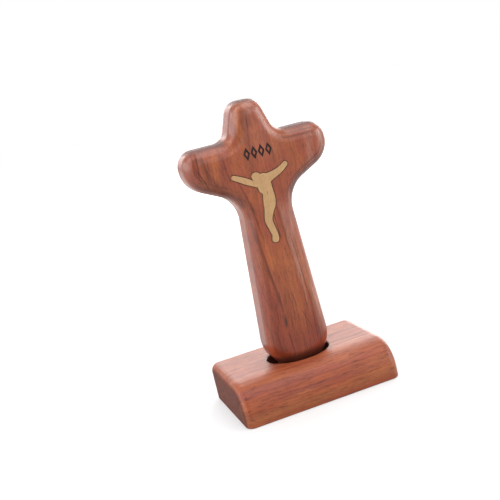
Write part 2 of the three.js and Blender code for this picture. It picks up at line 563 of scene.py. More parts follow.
def lay(colour: Colour | None, *rows: tuple[float, ...], sheet: Sheet = Sheet.UPRIGHT) -> tuple[Vein, ...]:
    """Makes a run of veins of one colour.

    Args:
        colour: The colour, or None for the wood's own dark layers.
        *rows: The numbers of each vein, in the order of its fields.
        sheet: How they lie in the wood.

    Returns:
        The veins.
    """
    return tuple(Vein(*row, colour=colour, sheet=sheet) for row in rows)


@dataclass(frozen=True)
class WoodFinish:
    """A satin, oiled hardwood."""

    name: str
    body: Colour
    warm: Colour
    dark: Colour
    late: Colour
    pore: Colour
    end: Colour = (119, 112, 140)
    grain: Grain = Grain.UP
    pith: tuple[float, float] = (2.0, 70.0)
    ring_spacing: float = 2.0
    ring_strength: float = 0.5
    ring_tone: float = 0.3
    wander: float = 6.0
    streaks: float = 0.42
    pores: float = 0.45
    dashes: float = 0.25
    flecks: float = 0.12
    fibre: float = 0.22
    ripple: float = 0.08
    end_dark: float = 0.8
    roughness: float = 0.28
    level: float = 0.38
    veins: tuple[Vein, ...] = ()
    char: Colour = (36, 17, 12)
    warm_from: float = 0.4
    warm_full: float = 0.66
    end_from: float = 0.7
    pore_roughness: float = 0.08
    bare_roughness: float = 0.5
    dash_depth: float = 0.6
    fibre_height: float = 0.4
    relief: float = 0.2
    relief_depth: float = 0.05 * MM

    def build(
        self, groups: dict[str, bpy.types.NodeTree], painted_shade: Callable[[Graph, Any, Any], Any] | None = None
    ) -> bpy.types.Material:
        """Builds the material.

        Args:
            groups: The shared node groups, by name.
            painted_shade: Adds painted shade of this piece's own, a darker place given the graph, the place
                and the colour.

        Returns:
            The material.
        """
        material = bpy.data.materials.new(self.name)
        g = empty_graph(material)
        source = g.add("TexCoord")
        turn = (0.0, math.pi / 2, 0.0) if self.grain is Grain.ALONG else (0.0, 0.0, 0.0)
        inputs = {"Vector": source.outputs["Object"], "Rotation": turn, "Scale": (1 / MM,) * 3}
        place = g.add("Mapping", inputs).outputs[0]
        grown = g.add("Group", node_tree=groups["solid_wood"])
        for socket, value in zip(grown.inputs, (place, *self.pith, self.ring_spacing, self.wander)):
            g.feed(socket, value)
        grown = grown.outputs
        warmth = g.noise(place, (0.11, 0.11, 0.03), detail=2.0, shift=80.0)
        warmth = g.ramp(warmth, self.warm_from, self.warm_full)
        colour = g.mix(warmth, paint(*self.body), paint(*self.warm))
        under = (
            ("Streaks", self.streaks, self.dark),
            ("Ring Tone", self.ring_tone, self.dark),
            ("Latewood", self.ring_strength, self.late),
        )
        over = (("Pores", self.pores), ("Dashes", self.dashes), ("Flecks", self.flecks))
        for output, strength, tone in under:
            colour = g.mix(g.times(grown[output], strength), colour, paint(*tone))
        colour = self.add_veins(g, groups["vein"], place, colour)
        for output, strength in over:
            colour = g.mix(g.times(grown[output], strength), colour, paint(*self.pore))
        shade = g.plus(g.times(g.minus(grown["Fibre"], 0.5), self.fibre), 1.0)
        shade = g.plus(shade, g.times(g.minus(grown["Ripple"], 0.5), self.ripple))
        colour = g.add("VectorMath", {0: colour, "Scale": shade}, operation="SCALE").outputs[0]
        facing = g.math("ABSOLUTE", g.axes(source.outputs["Normal"])[self.grain.value])
        endness = g.times(g.ramp(facing, self.end_from, 1.0), self.end_dark)
        colour = g.mix(endness, colour, paint(*self.end), blend="MULTIPLY")
        # Painted shade of this piece's own, where one is given.
        if painted_shade:
            colour = painted_shade(g, place, colour)
        burn = g.add("Attribute", attribute_name="burn", attribute_type="GEOMETRY").outputs["Fac"]
        colour = g.mix(burn, colour, paint(*self.char))
        rough = g.plus(g.times(grown["Pores"], self.pore_roughness), self.roughness)
        for bare in (endness, burn):
            rough = g.plus(rough, g.times(bare, self.bare_roughness))
        height = g.plus(grown["Pores"], g.times(grown["Dashes"], self.dash_depth))
        height = g.minus(g.times(grown["Fibre"], self.fibre_height), height)
        inputs = {"Strength": self.relief, "Distance": self.relief_depth, "Height": height}
        bump = g.add("Bump", inputs).outputs[0]
        inputs = {"Base Color": colour, "Roughness": rough, "Normal": bump, "Specular IOR Level": self.level}
        shader = g.add("BsdfPrincipled", inputs)
        g.add("OutputMaterial", {"Surface": shader.outputs[0]})
        return material

    def add_veins(self, g: Graph, group: bpy.types.NodeTree, place: Any, colour: Any) -> Any:
        """Lays the veins over the wood, one after another.

        Args:
            g: The material's graph.
            group: The shared group for a vein.
            place: The place in millimetres.
            colour: The wood's colour.

        Returns:
            The colour with the veins.
        """
        axes = g.axes(place)
        level = g.add("CombineXYZ", {0: axes[1], 1: axes[0], 2: axes[2]}).outputs[0]
        for vein in self.veins:
            node = g.add("Group", node_tree=group)
            g.feed(node.inputs["Place"], level if vein.sheet is Sheet.LEVEL else place)
            for name, value in vein.sizes().items():
                g.feed(node.inputs[name], value)
            share = g.times(node.outputs["Vein"], vein.strength)
            colour = g.mix(share, colour, paint(*(vein.colour or self.late)))
        return colour


def foot_painted_shade(g: Graph, place: Any, colour: Any) -> Any:
    """Paints shade on the cross: the wood darkens towards the foot, and a dark band of shade lies where it
    sits in its socket.

    Args:
        g: The material's graph.
        place: The place in millimetres.
        colour: The wood's colour.

    Returns:
        The darker colour.
    """
    deep_to, deep_from = 18.0, 56.0
    dark_to, dark_from = 18.8, 21.4
    up = g.axes(place)[2]
    # Painted shade: darker, deeper wood towards the foot.
    colour = g.mix(g.ramp(up, deep_to, deep_from, 0.9, 0.0), colour, paint(222, 182, 156), blend="MULTIPLY")
    # Painted shade: a dark, ragged band where the foot sits in its socket.
    ragged = g.plus(up, g.times(g.noise(place, (0.5, 0.5, 0.2), detail=2.0, shift=90.0), 1.2))
    return g.mix(g.ramp(ragged, dark_to, dark_from, 0.75, 0.0), colour, paint(66, 36, 30))


def socket_painted_shade(g: Graph, place: Any, colour: Any) -> Any:
    """Paints shade into the inside of the socket.

    Args:
        g: The material's graph.
        place: The place in millimetres, turned with the grain.
        colour: The wood's colour.

    Returns:
        The darker colour.
    """
    half_length, half_depth = 15.5, 12.6
    low, high = 15.9, 16.9
    axes = g.axes(place)
    below = g.ramp(axes[0], low, high, 0.62, 0.0)
    along = g.over(axes[2], half_length)
    deep = g.over(axes[1], half_depth)
    out = g.plus(g.times(along, along), g.times(deep, deep))
    # Painted shade: darker wood inside the oval socket, below its rim.
    return g.mix(g.times(below, g.ramp(out, 0.98, 1.02, 1.0, 0.0)), colour, paint(92, 46, 34))


# The wooden pieces


@dataclass
class Corner:
    """One corner of the cross's right half, seen from the front."""

    x: float
    z: float
    radius: float


@dataclass
class Limb:
    """A limb of the figure: a band of changing width along a smooth line, with round ends."""

    stations: tuple[tuple[float, float, float], ...]
    steps: int = 28
    cap_steps: int = 6
    reach: int = 3

    def lines(self, growth: float) -> list[tuple[float, float, float, float]]:
        """Works out the lines that cross the limb.

        Args:
            growth: How much wider it is on each side, in millimetres.

        Returns:
            The centre across and up, the direction in radians and the half width of each line.
        """
        count = len(self.stations) - 1

        def at(place: float) -> tuple[float, float, float]:
            """A point on the smooth line, with its half width."""
            first = min(int(place), count - 1)
            t = place - first
            rows = [self.stations[min(max(first + k, 0), count)] for k in (-1, 0, 1, 2)]
            if first == 0:
                rows[0] = tuple(2 * a - b for a, b in zip(rows[1], rows[2]))
            if first == count - 1:
                rows[3] = tuple(2 * a - b for a, b in zip(rows[2], rows[1]))
            return tuple(
                0.5
                * (
                    2 * p1
                    + (p2 - p0) * t
                    + (2 * p0 - 5 * p1 + 4 * p2 - p3) * t * t
                    + (3 * p1 - p0 - 3 * p2 + p3) * t**3
                )
                for p0, p1, p2, p3 in zip(*rows)
            )

        points = [at(count * step / self.steps) for step in range(self.steps + 1)]
        lines = []
        for i, (x, z, half) in enumerate(points):
            before, after = points[max(i - self.reach, 0)], points[min(i + self.reach, self.steps)]
            lines.append((x, z, math.atan2(after[1] - before[1], after[0] - before[0]), half + growth))
        caps = []
        for end, sign in ((lines[0], -1), (lines[-1], 1)):
            x, z, angle, half = end
            turns = [math.pi / 2 * (step + 0.9) / (self.cap_steps + 0.2) for step in range(self.cap_steps)]
            caps.append(
                [
                    (
                        x + sign * half * math.sin(t) * math.cos(angle),
                        z + sign * half * math.sin(t) * math.sin(angle),
                        angle,
                        half * math.cos(t),
                    )
                    for t in turns
                ]
            )
        return caps[0][::-1] + lines + caps[1]


@dataclass
class CorpusInlay:
    """The flat figure that is let into the front of the cross."""

    chest: tuple[float, float] = (-0.4, 94.2)
    thickness: float = 2.0
    gap: float = 0.3
    swell: float = 0.08
    head_centre: tuple[float, float] = (-2.95, 2.5)
    head_half: tuple[float, float] = (2.05, 1.75)
    head_lean: float = 155.0
    head_sides: int = 56
    crease: float = 40.0
    limbs: tuple[Limb, ...] = (
        Limb(
            (
                (-0.8, -0.55, 2.3),
                (-4.4, 0.0, 1.15),
                (-7.6, 1.75, 1.2),
                (-10.2, 3.25, 1.05),
                (-12.35, 4.4, 0.9),
            )
        ),
        Limb(
            (
                (-0.2, 0.9, 2.42),
                (1.3, 0.8, 2.05),
                (3.4, 1.45, 1.6),
                (6.6, 2.45, 1.27),
                (9.0, 3.75, 1.1),
                (10.2, 4.65, 1.0),
            )
        ),
        Limb(
            (
                (-0.35, -0.9, 2.9),
                (-0.25, -2.7, 2.85),
                (0.4, -4.5, 2.3),
                (0.35, -7.0, 2.55),
                (0.05, -9.6, 2.55),
                (-0.9, -12.4, 1.9),
                (-1.9, -15.8, 1.55),
                (-1.35, -19.2, 1.35),
                (-0.6, -22.3, 1.22),
                (-0.75, -24.3, 1.45),
            ),
            steps=44,
        ),
    )

    def limb_solid(self, limb: Limb, growth: float, near: float, far: float) -> Workpiece:
        """Draws out one limb as a strip, line by line, and gives it its thickness.

        Args:
            limb: The limb.
            growth: How much wider it is on each side, in millimetres.
            near: Where its front lies along Y, in metres.
            far: Where its back lies along Y, in metres.

        Returns:
            The closed solid.
        """
        lines = [
            ((self.chest[0] + x) * MM, (self.chest[1] + z) * MM, angle, half * MM)
            for x, z, angle, half in limb.lines(growth)
        ]
        x, z, angle, half = lines[0]
        place = {"location": (x, near, z), "rotation": FACING_FRONT}
        strip = Workpiece("limb", bpy.ops.mesh.primitive_plane_add, size=1, **place)
        strip.all()
        strip.size((NEAR, 1, 2 * half), (x, near, z))
        bpy.ops.transform.rotate(value=angle, orient_axis="Y", center_override=(x, near, z))
        ahead = Vector((math.cos(angle), 0, math.sin(angle)))
        strip.pick_edges(lambda co: (co - Vector((x, near, z))).dot(ahead) > 0)
        for (x0, z0, angle0, half0), (x1, z1, angle1, half1) in zip(lines, lines[1:]):
            strip.pull((x1 - x0, 0, z1 - z0), edges=True)
            bpy.ops.transform.rotate(value=angle1 - angle0, orient_axis="Y", center_override=(x1, near, z1))
            strip.size((half1 / half0,) * 3, (x1, near, z1))
        strip.all()
        strip.pull((0, far - near, 0))
        strip.outwards()
        return strip

    def solid(self, name: str, growth: float, near: float, far: float) -> Workpiece:
        """Builds the whole figure as one flat solid.

        Args:
            name: The object's name.
            growth: How much wider it is all round, in millimetres.
            near: Where its front lies along Y, in metres.
            far: Where its back lies along Y, in metres.

        Returns:
            The closed solid.
        """
        x, z = ((a + b) * MM for a, b in zip(self.chest, self.head_centre))
        place = {"location": (x, near, z), "rotation": FACING_FRONT}
        disc = {"vertices": self.head_sides, "radius": 1, "fill_type": "NGON"}
        head = Workpiece(name, bpy.ops.mesh.primitive_circle_add, **disc, **place)
        head.all()
        head.size(((self.head_half[0] + growth) * MM, 1, (self.head_half[1] + growth) * MM), (x, near, z))
        lean = math.radians(self.head_lean)
        bpy.ops.transform.rotate(value=lean, orient_axis="Y", center_override=(x, near, z))
        head.pull((0, far - near, 0))
        head.outwards()
        for limb in self.limbs:
            head.combine(self.limb_solid(limb, growth, near, far), Cut.JOIN)
        return head

    def build(self, face: float, finish: bpy.types.Material) -> None:
        """Makes the inlay flush with the face of the cross and hands it over.

        Args:
            face: Where the face lies along Y.
            finish: The material.
        """
        inlay = self.solid("corpus_inlay_fine", self.swell, face, face + self.thickness * MM)
        inlay.smooth(self.crease)
        inlay.hand_over("corpus_inlay", "cross", "inlay_wood", finish)


@dataclass
class CrossBody:
    """The cross: one board with rounded lobes, its edges rounded all along, and a domed foot."""

    half_foot: float = 14.8 * MM
    stem_length: float = 75.8 * MM
    half_stem_top: float = 10.4 * MM
    arm_root: float = 25.0 * MM
    arm_tip: float = 14.6 * MM
    half_span: float = 31.4 * MM
    head_height: float = 15.0 * MM
    half_head_root: float = 10.6 * MM
    half_head_tip: float = 5.6 * MM
    radii: tuple[float, ...] = (13.5 * MM, 12.9 * MM, 11.3 * MM, 6.9 * MM, 5.8 * MM, 6.3 * MM)
    edge_radius: float = 6.24 * MM
    foot_rise: float = 2.7 * MM
    foot_reach: float = 24 * MM
    corner_steps: int = 20
    edge_steps: int = 14
    pocket_growth: float = 0.3
    burn_width: float = 0.26
    burn_depth: float = 0.03 * MM
    burn_share: float = 0.65
    crease: float = 35.0
    low: Vector = field(default_factory=lambda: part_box("cross")[0])
    high: Vector = field(default_factory=lambda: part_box("cross")[1])

    @property
    def middle(self) -> float:
        """The cross's middle along Y."""
        return (self.low.y + self.high.y) / 2

    @property
    def half_thickness(self) -> float:
        """Half of its thickness."""
        return (self.high.y - self.low.y) / 2

    def corners(self) -> list[Corner]:
        """The corners of the right half, from the foot up."""
        foot = self.low.z
        root = foot + self.stem_length
        top = root + self.arm_root
        places = (
            (self.half_foot, foot),
            (self.half_stem_top, root),
            (self.half_span, top - self.arm_tip),
            (self.half_span, top),
            (self.half_head_root, top),
            (self.half_head_tip, top + self.head_height),
        )
        return [Corner(x, z, radius) for (x, z), radius in zip(places, self.radii)]

    def blank(self) -> Workpiece:
        """Draws the board's outline from one plane and gives it the thickness of its flat side."""
        foot, root, under, tip, crotch, crown = self.corners()
        side = self.middle - self.half_thickness + self.edge_radius
        middle = (0, side, (foot.z + root.z) / 2)
        place = {"location": middle, "rotation": FACING_FRONT}
        board = Workpiece("cross_fine", bpy.ops.mesh.primitive_plane_add, size=1, **place)
        board.all()
        board.size((2 * foot.x, 1, self.stem_length), middle)
        board.pick_edges(lambda co: co.z > root.z - NEAR)
        board.size((root.x / foot.x, 1, 1), (0, side, root.z))
        board.pull((0, 0, self.arm_root), edges=True)
        board.size((crotch.x / root.x, 1, 1), (0, side, tip.z))
        board.pull((0, 0, self.head_height), edges=True)
        board.size((crown.x / crotch.x, 1, 1), (0, side, crown.z))
        for sign in (-1, 1):
            board.pick_edges(lambda co: sign * co.x > NEAR and root.z - NEAR < co.z < tip.z + NEAR)
            board.pull((sign * (tip.x - root.x), 0, 0), edges=True)
            board.size((0, 1, self.arm_tip / self.arm_root), (sign * tip.x, side, tip.z))
        board.all()
        bpy.ops.mesh.dissolve_limited(angle_limit=math.radians(0.5))
        self.round_corners(board)
        board.all()
        board.pull((0, 2 * (self.middle - side), 0))
        board.outwards()
        return board

    def round_corners(self, board: Workpiece) -> None:
        """Rounds each pair of corners of the flat outline with its own radius.

        Args:
            board: The outline.
        """
        row = self.corners()
        around = [Corner(0, row[0].z, 0), *row, Corner(0, row[-1].z, 0)]
        for before, corner, after in zip(around, around[1:], around[2:]):
            into = Vector((corner.x - before.x, corner.z - before.z))
            out = Vector((after.x - corner.x, after.z - corner.z))
            turn = abs(into.angle_signed(out))
            half = math.cos(turn / 2)
            board.pick_verts(lambda co: abs(abs(co.x) - corner.x) < NEAR and abs(co.z - corner.z) < NEAR)
            bpy.ops.mesh.bevel(
                affect="VERTICES",
                offset=corner.radius * math.tan(turn / 2),
                segments=self.corner_steps,
                profile=((1 + 2 * half) / (2 + 2 * half)) ** 2,
                clamp_overlap=False,
            )

    def round_edges(self, board: Workpiece) -> None:
        """Draws both faces in and out step by step, so that a round runs along all edges.

        Args:
            board: The board with its flat side.
        """
        stations = quarter_round(self.edge_steps)
        for sign in (-1, 1):
            board.pick_faces(lambda normal: normal.y * sign > SQUARE_ON)
            board.round_off(stations, self.edge_radius)
        pivot = self.low.z + self.foot_reach
        flat = self.half_thickness - self.edge_radius
        for drawn, risen in stations[1:]:
            depth = flat + risen * self.edge_radius
            board.pick_verts(lambda co: co.z < pivot and abs(abs(co.y - self.middle) - depth) < NEAR)
            share = 1 - self.foot_rise * drawn / (self.foot_reach - self.edge_radius * drawn)
            board.size((1, 1, share), (0, self.middle, pivot))
        board.all()
        bpy.ops.mesh.remove_doubles(threshold=NEAR)

    def build(self, inlay: CorpusInlay, finish: bpy.types.Material) -> None:
        """Shapes the cross, cuts its front and hands it over.

        Args:
            inlay: The figure that its pocket takes.
            finish: The material.
        """
        board = self.blank()
        self.round_edges(board)
        board.scorch(0.0)
        face = self.low.y
        around = self.pocket_growth + self.burn_width
        floor = face + (inlay.thickness + inlay.gap) * MM
        cuts = (
            (inlay.solid("ring", around, face - PROUD, face + self.burn_depth), 0.0),
            (inlay.solid("pocket", self.pocket_growth, face - PROUD, floor), 1.0),
            (LozengeRow().cutter(face), 1.0),
        )
        for cutter, burnt in cuts:
            cutter.scorch(burnt)
            board.combine(cutter, Cut.REMOVE)
        self.fade_burn(board, face)
        board.smooth(self.crease)
        board.hand_over("cross", "cross", "cross_wood", finish)

    def fade_burn(self, board: Workpiece, face: float) -> None:
        """Lets the burn fade out across the shallow ring round the figure.

        Args:
            board: The cut cross.
            face: Where its face lies along Y.
        """
        board.only()
        mesh = board.obj.data
        burnt = mesh.attributes["burn"].data
        ring = face + self.burn_depth
        walls = {
            mesh.loops[loop].vertex_index
            for polygon in mesh.polygons
            for loop in polygon.loop_indices
            if burnt[loop].value > 0.5
        }
        for polygon in mesh.polygons:
            if all(abs(mesh.vertices[v].co.y - ring) < NEAR / 2 for v in polygon.vertices):
                for loop in polygon.loop_indices:
                    burnt[loop].value = self.burn_share if mesh.loops[loop].vertex_index in walls else 0.0


@dataclass
class LozengeRow:
    """A row of burnt lozenge outlines, a plain old border ornament."""

    count: int = 4
    centre: tuple[float, float] = (-0.45 * MM, 106.5 * MM)
    half_width: float = 1.45 * MM
    half_height: float = 2.8 * MM
    pitch: float = 3.15 * MM
    stroke: float = 0.78 * MM
    depth: float = 0.25 * MM

    def cutter(self, face: float) -> Workpiece:
        """Builds the lozenges as one cutter.

        Args:
            face: Where the face lies along Y.

        Returns:
            The cutter.
        """
        first = self.centre[0] - self.pitch * (self.count - 1) / 2
        whole = None
        for place in range(self.count):
            x = first + place * self.pitch
            near = (x, face - PROUD, self.centre[1])
            shape = {"vertices": 4, "radius": 1, "fill_type": "NGON", "rotation": FACING_FRONT}
            one = Workpiece("lozenges", bpy.ops.mesh.primitive_circle_add, location=near, **shape)
            one.all()
            one.size((self.half_width, 1, self.half_height), near)
            bpy.ops.mesh.inset(thickness=self.stroke, use_even_offset=True)
            bpy.ops.mesh.delete(type="FACE")
            one.all()
            one.pull((0, PROUD + self.depth, 0))
            one.outwards()
            if whole is None:
                whole = one
            else:
                whole.only()
                one.obj.select_set(True)
                bpy.ops.object.join()
        return whole


@dataclass
class Stand:
    """The stand: a block with its front edge fully rounded, eased ends and an oval socket."""

    front_radius: float = 12.7 * MM
    back_radius: float = 4.0 * MM
    end_radius: float = 3.6 * MM
    underside_ease: float = 0.8 * MM
    half_socket_length: float = 14.1 * MM
    half_socket_depth: float = 11.3 * MM
    socket_depth: float = 5.3 * MM
    socket_back: float = 0.3 * MM
    rim_radius: float = 0.8 * MM
    front_steps: int = 28
    back_steps: int = 14
    end_steps: int = 12
    underside_steps: int = 4
    rim_steps: int = 8
    socket_sides: int = 144
    crease: float = 35.0
    low: Vector = field(default_factory=lambda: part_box("stand")[0])
    high: Vector = field(default_factory=lambda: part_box("stand")[1])

    def block(self) -> Workpiece:
        """Shapes the block: its long rounds first, then its ends ring by ring, then the eased underside."""
        width, depth, height = self.high - self.low
        middle = (0, 0, height / 2)
        block = Workpiece("stand_fine", bpy.ops.mesh.primitive_cube_add, size=1, location=middle)
        block.all()
        block.size((width - 2 * self.end_radius, depth, height), middle)
        long_edges = (
            (-1, self.front_radius, self.front_steps),
            (1, self.back_radius, self.back_steps),
        )
        for side, radius, steps in long_edges:
            block.pick_edges(lambda co: co.y * side > depth / 2 - NEAR and co.z > height - NEAR)
            bpy.ops.mesh.bevel(offset=radius, segments=steps, profile=0.5, clamp_overlap=False)
        stations = quarter_round(self.end_steps)
        for sign in (-1, 1):
            block.pick_faces(lambda normal: normal.x * sign > SQUARE_ON)
            block.round_off(stations, self.end_radius)
        for drawn, risen in stations[1:]:
            place = width / 2 - self.end_radius + risen * self.end_radius
            level = drawn * self.end_radius
            block.pick_verts(lambda co: abs(abs(co.x) - place) < NEAR and abs(co.z - level) < NEAR)
            block.move((0, 0, -level))
        block.pick_faces(lambda normal: normal.z < -SQUARE_ON)
        bpy.ops.mesh.dissolve_faces()
        block.pick_faces(lambda normal: normal.z < -SQUARE_ON)
        bpy.ops.mesh.region_to_loop()
        steps = self.underside_steps
        bpy.ops.mesh.bevel(offset=self.underside_ease, segments=steps, profile=0.5, clamp_overlap=False)
        block.outwards()
        return block

    def socket(self) -> Workpiece:
        """Builds the cutter for the socket, with its eased rim."""
        top = self.high.z
        wall = self.socket_depth - self.rim_radius
        centre = (0, self.socket_back, top - self.socket_depth + wall / 2)
        drum = {"vertices": self.socket_sides, "radius": 1, "depth": wall, "location": centre}
        well = Workpiece("socket", bpy.ops.mesh.primitive_cylinder_add, **drum)
        well.all()
        well.size((self.half_socket_length, self.half_socket_depth, 1), centre)
        height = top - self.rim_radius
        halves = (self.half_socket_length, self.half_socket_depth)
        well.pick_faces(lambda normal: normal.z > SQUARE_ON)
        stations = quarter_round(self.rim_steps)
        for (in0, out0), (in1, out1) in zip(stations, stations[1:]):
            rise = (out1 - out0) * self.rim_radius
            height += rise
            well.pull((0, 0, rise))
            before, after = in0 * self.rim_radius, in1 * self.rim_radius
            by = tuple((half + after) / (half + before) for half in halves)
            well.size((*by, 1), (0, self.socket_back, height))
        well.pull((0, 0, 2 * PROUD))
        well.outwards()
        return well

    def build(self, finish: bpy.types.Material) -> None:
        """Cuts the socket and hands the stand over.

        Args:
            finish: The material.
        """
        block = self.block()
        block.combine(self.socket(), Cut.REMOVE)
        block.smooth(self.crease)
        block.hand_over("stand", "stand", "stand_wood", finish)


# The studio


@dataclass(frozen=True)
class Softbox:
    """A rectangular soft lamp that looks at one point."""

    name: str
    place: tuple[float, float, float]
    width: float
    height: float
    power: float
    aim: tuple[float, float, float] = (0.0, 0.0, 0.06)

    def build(self) -> None:
        """Adds the lamp."""
        lamp = bpy.data.lights.new(self.name, "AREA")
        lamp.shape = "RECTANGLE"
        lamp.size = self.width
        lamp.size_y = self.height
        lamp.energy = self.power
        holder = bpy.data.objects.new(self.name, lamp)
        bpy.context.scene.collection.objects.link(holder)
        holder.location = self.place
        holder.rotation_euler = (Vector(self.aim) - Vector(self.place)).to_track_quat("-Z", "Y").to_euler()
        log.info("%s: %.1f W", self.name, self.power)


@dataclass
class Studio:
    """A plain white floor and backdrop with soft lamps."""

    ambient: float = 0.14
    dim: float = 0.45
    backdrop: float = 0.88
    open_side: tuple[float, float] = (-0.45, 0.1)
    near_floor: float = 0.0
    far_floor: float = 0.4
    floor_turn: tuple[float, float] = (-0.12, 0.14)
    side_share: float = 0.9
    floor_size: float = 6.0
    floor_grey: float = 0.47
    floor_roughness: float = 0.9
    pool: tuple[float, float] = (0.1, 0.5)
    pool_glow: float = 0.45
    lamps: tuple[Softbox, ...] = (
        Softbox("over_front", (0.25, -0.3, 1.0), 0.7, 0.7, 4.0),
        Softbox("over_back", (0.25, 0.6, 0.85), 0.7, 0.7, 3.6),
        Softbox("over_left", (-0.6, -0.1, 0.9), 0.7, 0.7, 3.4),
        Softbox("left", (-1.0, 0.05, 0.36), 1.6, 0.7, 10.0),
        Softbox("back", (0.1, 1.1, 0.42), 0.7, 0.7, 3.1),
        Softbox("right_front", (0.9, -0.5, 0.3), 0.7, 0.7, 7.2),
        Softbox("right_back", (0.75, 0.8, 0.3), 0.7, 0.7, 7.5),
        Softbox("front", (0.2, -0.95, 0.45), 0.7, 0.7, 1.8),
    )

    def world(self) -> None:
        """Lights the scene evenly, and shows the camera and the reflections a white surrounding."""
        world = bpy.data.worlds.new("studio")
        bpy.context.scene.world = world
        g = empty_graph(world)
        path = g.add("LightPath")
        mirrored = g.mirrored(path)
        ahead = g.axes(g.add("TexCoord").outputs["Generated"])[1]
        backdrop = g.ramp(ahead, *self.open_side, self.dim, self.backdrop)
        strength = g.add("Mix", {0: mirrored, 2: self.ambient, 3: backdrop}).outputs[0]
        strength = g.math("MAXIMUM", strength, path.outputs["Is Camera Ray"])
        glow = g.add("Background", {"Color": (1, 1, 1, 1), "Strength": strength})
        g.add("OutputWorld", {"Surface": glow.outputs[0]})

    def floor(self) -> None:
        """Adds the pale floor under the stand."""
        slab = Workpiece("floor", bpy.ops.mesh.primitive_plane_add, size=self.floor_size, location=(0, 0, 0))
        material = bpy.data.materials.new("white_floor")
        g = empty_graph(material)
        grey = (self.floor_grey,) * 3 + (1,)
        shader = g.add("BsdfPrincipled", {"Base Color": grey, "Roughness": self.floor_roughness})
        path = g.add("LightPath")
        mirrored = g.mirrored(path)
        source = g.add("TexCoord").outputs["Object"]
        out = g.add("VectorMath", {0: source}, operation="LENGTH").outputs["Value"]
        bright = g.ramp(out, *self.pool, self.pool_glow, 1.0)
        seen = g.times(path.outputs["Is Camera Ray"], bright)
        axes = g.axes(source)
        around = g.plus(axes[1], g.times(g.math("ABSOLUTE", axes[0]), self.side_share))
        shown = g.times(mirrored, g.ramp(around, *self.floor_turn, self.near_floor, self.far_floor))
        glow = g.add("Emission", {"Color": (1, 1, 1, 1), "Strength": g.math("MAXIMUM", seen, shown)})
        both = g.add("AddShader", {0: shader.outputs[0], 1: glow.outputs[0]})
        g.add("OutputMaterial", {"Surface": both.outputs[0]})
        slab.obj.data.materials.append(material)

    def build(self) -> None:
        """Builds the floor, the surroundings and the lamps."""
        self.world()
        self.floor()
        for lamp in self.lamps:
            lamp.build()


@dataclass
class View:
    """The camera, held at the viewing angle of the real picture."""

    place: tuple[float, float, float] = (-0.103004, -0.332846, 0.139479)
    ahead: tuple[float, float, float] = (0.2620, 0.9426, -0.2069)
    above: tuple[float, float, float] = (0.2762, 0.1323, 0.9519)
    lens: float = 60.514
    sensor_width: float = 36.0
    clip_start: float = 0.01

    def build(self) -> None:
        """Adds the camera."""
        camera = bpy.data.cameras.new("camera")
        camera.lens = self.lens
        camera.sensor_width = self.sensor_width
        camera.clip_start = self.clip_start
        holder = bpy.data.objects.new("camera", camera)
        bpy.context.scene.collection.objects.link(holder)
        back = -Vector(self.ahead).normalized()
        right = Vector(self.above).cross(back).normalized()
        up = back.cross(right)
        turn = Matrix((right, up, back)).transposed()
        holder.matrix_world = Matrix.Translation(self.place) @ turn.to_4x4()
        bpy.context.scene.camera = holder


PALE: Colour = (184, 128, 108)
ORANGE: Colour = (184, 102, 52)
RED: Colour = (140, 58, 42)
TAN: Colour = (168, 96, 60)
DEEP: Colour = (88, 33, 22)
UMBER: Colour = (98, 36, 24)
KNOT: Colour = (60, 34, 24)
HALO: Colour = (84, 44, 32)
SEAM: Colour = (62, 30, 20)
SHADE: Colour = (66, 28, 20)
AMBER: Colour = (176, 98, 46)
ROSE: Colour = (150, 68, 54)
FAWN: Colour = (158, 98, 62)
WINE: Colour = (116, 46, 42)
SPECK: Colour = (110, 78, 50)

